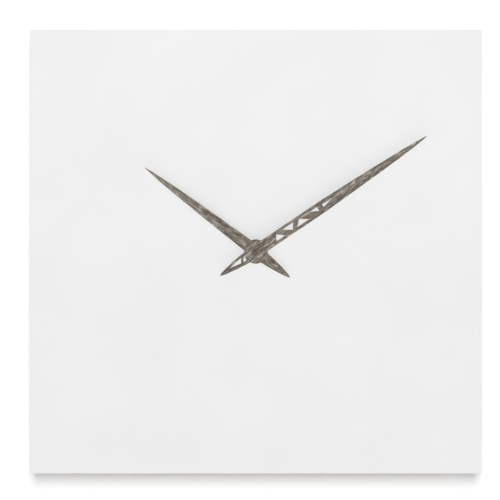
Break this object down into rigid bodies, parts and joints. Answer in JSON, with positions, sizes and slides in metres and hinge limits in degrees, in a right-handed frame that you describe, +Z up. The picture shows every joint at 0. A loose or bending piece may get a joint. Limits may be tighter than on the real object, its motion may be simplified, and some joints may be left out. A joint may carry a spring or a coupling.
{
  "type": "wall clock",
  "caption": "Nearly square white wall clock with two tapered wooden hands, a timber back frame with keyhole hangers, and a quartz movement that turns the hands through gears.",
  "frame": {"origin": "middle of the top rail's back face, on the wall", "axes": "+X to the viewer's right, +Z up, +Y into the wall; the panel faces -Y"},
  "size_m": [0.45, 0.0357, 0.4415],
  "materials": {
    "white_lacquer": "fibreboard with satin white lacquer",
    "timber": "planed pine",
    "grey_oak_veneer": "open-pored grey oak veneer",
    "zinc": "zinc plated steel",
    "steel": "bright steel",
    "brass": "turned brass",
    "copper": "enamelled copper wire",
    "ferrite": "ferrite magnet on a moulded pinion",
    "rubber": "matt black rubber",
    "black_plastic": "fine-textured black moulding",
    "white_plastic": "natural white moulding",
    "amber_plastic": "amber moulding",
    "board": "brown paper-phenolic circuit board",
    "cell_sleeve": "plain printed sleeve with no wording"
  },
  "bodies": {
    "case": {"dial_panel": "white_lacquer", "top_rail_left": "timber", "top_rail_middle": "timber", "top_rail_right": "timber", "bottom_rail": "timber", "left_rail": "timber", "right_rail": "timber", "left_hanger_plate": "zinc", "right_hanger_plate": "zinc", "left_hanger_screw_1": "zinc", "left_hanger_screw_2": "zinc", "right_hanger_screw_1": "zinc", "right_hanger_screw_2": "zinc", "movement_front_shell": "black_plastic", "movement_back_cover": "black_plastic", "threaded_stem": "brass", "stem_nut": "brass", "rubber_washer": "rubber", "flat_washer": "steel", "train_bridge": "white_plastic", "stator": "steel", "coil_core": "steel", "coil_bobbin": "white_plastic", "coil_winding": "copper", "motor_screw_left": "steel", "motor_screw_right": "steel", "circuit_board": "board", "chip_cap": "black_plastic", "quartz_crystal": "steel", "positive_contact": "zinc", "negative_contact": "zinc", "battery_cell": "cell_sleeve"},
    "minute_work": {"minute_hand": "grey_oak_veneer", "minute_hand_bush": "brass", "cannon_arbor": "steel", "clutch_spring": "steel"},
    "hour_work": {"hour_hand": "grey_oak_veneer", "hour_hand_bush": "brass", "hour_wheel": "amber_plastic"},
    "reduction": {"minute_wheel": "white_plastic"},
    "setting": {"setting_arbor": "white_plastic", "setting_knob": "black_plastic"},
    "seconds_train": {"seconds_wheel": "white_plastic"},
    "third_train": {"third_wheel": "amber_plastic"},
    "centre_train": {"centre_wheel": "white_plastic"},
    "intermediate_train": {"intermediate_wheel": "white_plastic"},
    "motor_rotor": {"rotor": "ferrite"}
  },
  "joints": [
    {"name": "minute_hand_turn", "type": "hinge", "parent": "case", "child": "minute_work", "pos_m": [0, 0, -0.18675], "axis": [0, 1, 0], "continuous": true},
    {"name": "hour_hand_turn", "type": "hinge", "parent": "case", "child": "hour_work", "pos_m": [0, 0, -0.18675], "axis": [0, 1, 0], "continuous": true},
    {"name": "minute_wheel_turn", "type": "hinge", "parent": "case", "child": "reduction", "pos_m": [0.0096, 0, -0.18675], "axis": [0, 1, 0], "continuous": true},
    {"name": "setting_knob_turn", "type": "hinge", "parent": "case", "child": "setting", "pos_m": [0.0192, 0, -0.18675], "axis": [0, 1, 0], "continuous": true},
    {"name": "seconds_wheel_turn", "type": "hinge", "parent": "case", "child": "seconds_train", "pos_m": [-0.00404, 0, -0.17323], "axis": [0, 1, 0], "continuous": true},
    {"name": "third_wheel_turn", "type": "hinge", "parent": "case", "child": "third_train", "pos_m": [-0.00889, 0, -0.18162], "axis": [0, 1, 0], "continuous": true},
    {"name": "centre_wheel_turn", "type": "hinge", "parent": "case", "child": "centre_train", "pos_m": [0, 0, -0.18675], "axis": [0, 1, 0], "continuous": true},
    {"name": "intermediate_wheel_turn", "type": "hinge", "parent": "case", "child": "intermediate_train", "pos_m": [0.00394, 0, -0.17323], "axis": [0, 1, 0], "continuous": true},
    {"name": "rotor_turn", "type": "hinge", "parent": "case", "child": "motor_rotor", "pos_m": [0.01068, 0, -0.17442], "axis": [0, 1, 0], "continuous": true}
  ],
  "couplings": [
    {"joint": "hour_hand_turn", "follows": "minute_hand_turn", "ratio": 0.083333},
    {"joint": "minute_wheel_turn", "follows": "minute_hand_turn", "ratio": -0.33333},
    {"joint": "setting_knob_turn", "follows": "minute_hand_turn", "ratio": 1},
    {"joint": "third_wheel_turn", "follows": "seconds_wheel_turn", "ratio": -0.13333},
    {"joint": "centre_wheel_turn", "follows": "seconds_wheel_turn", "ratio": 0.016667},
    {"joint": "intermediate_wheel_turn", "follows": "seconds_wheel_turn", "ratio": -6},
    {"joint": "rotor_turn", "follows": "seconds_wheel_turn", "ratio": 30}
  ]
}
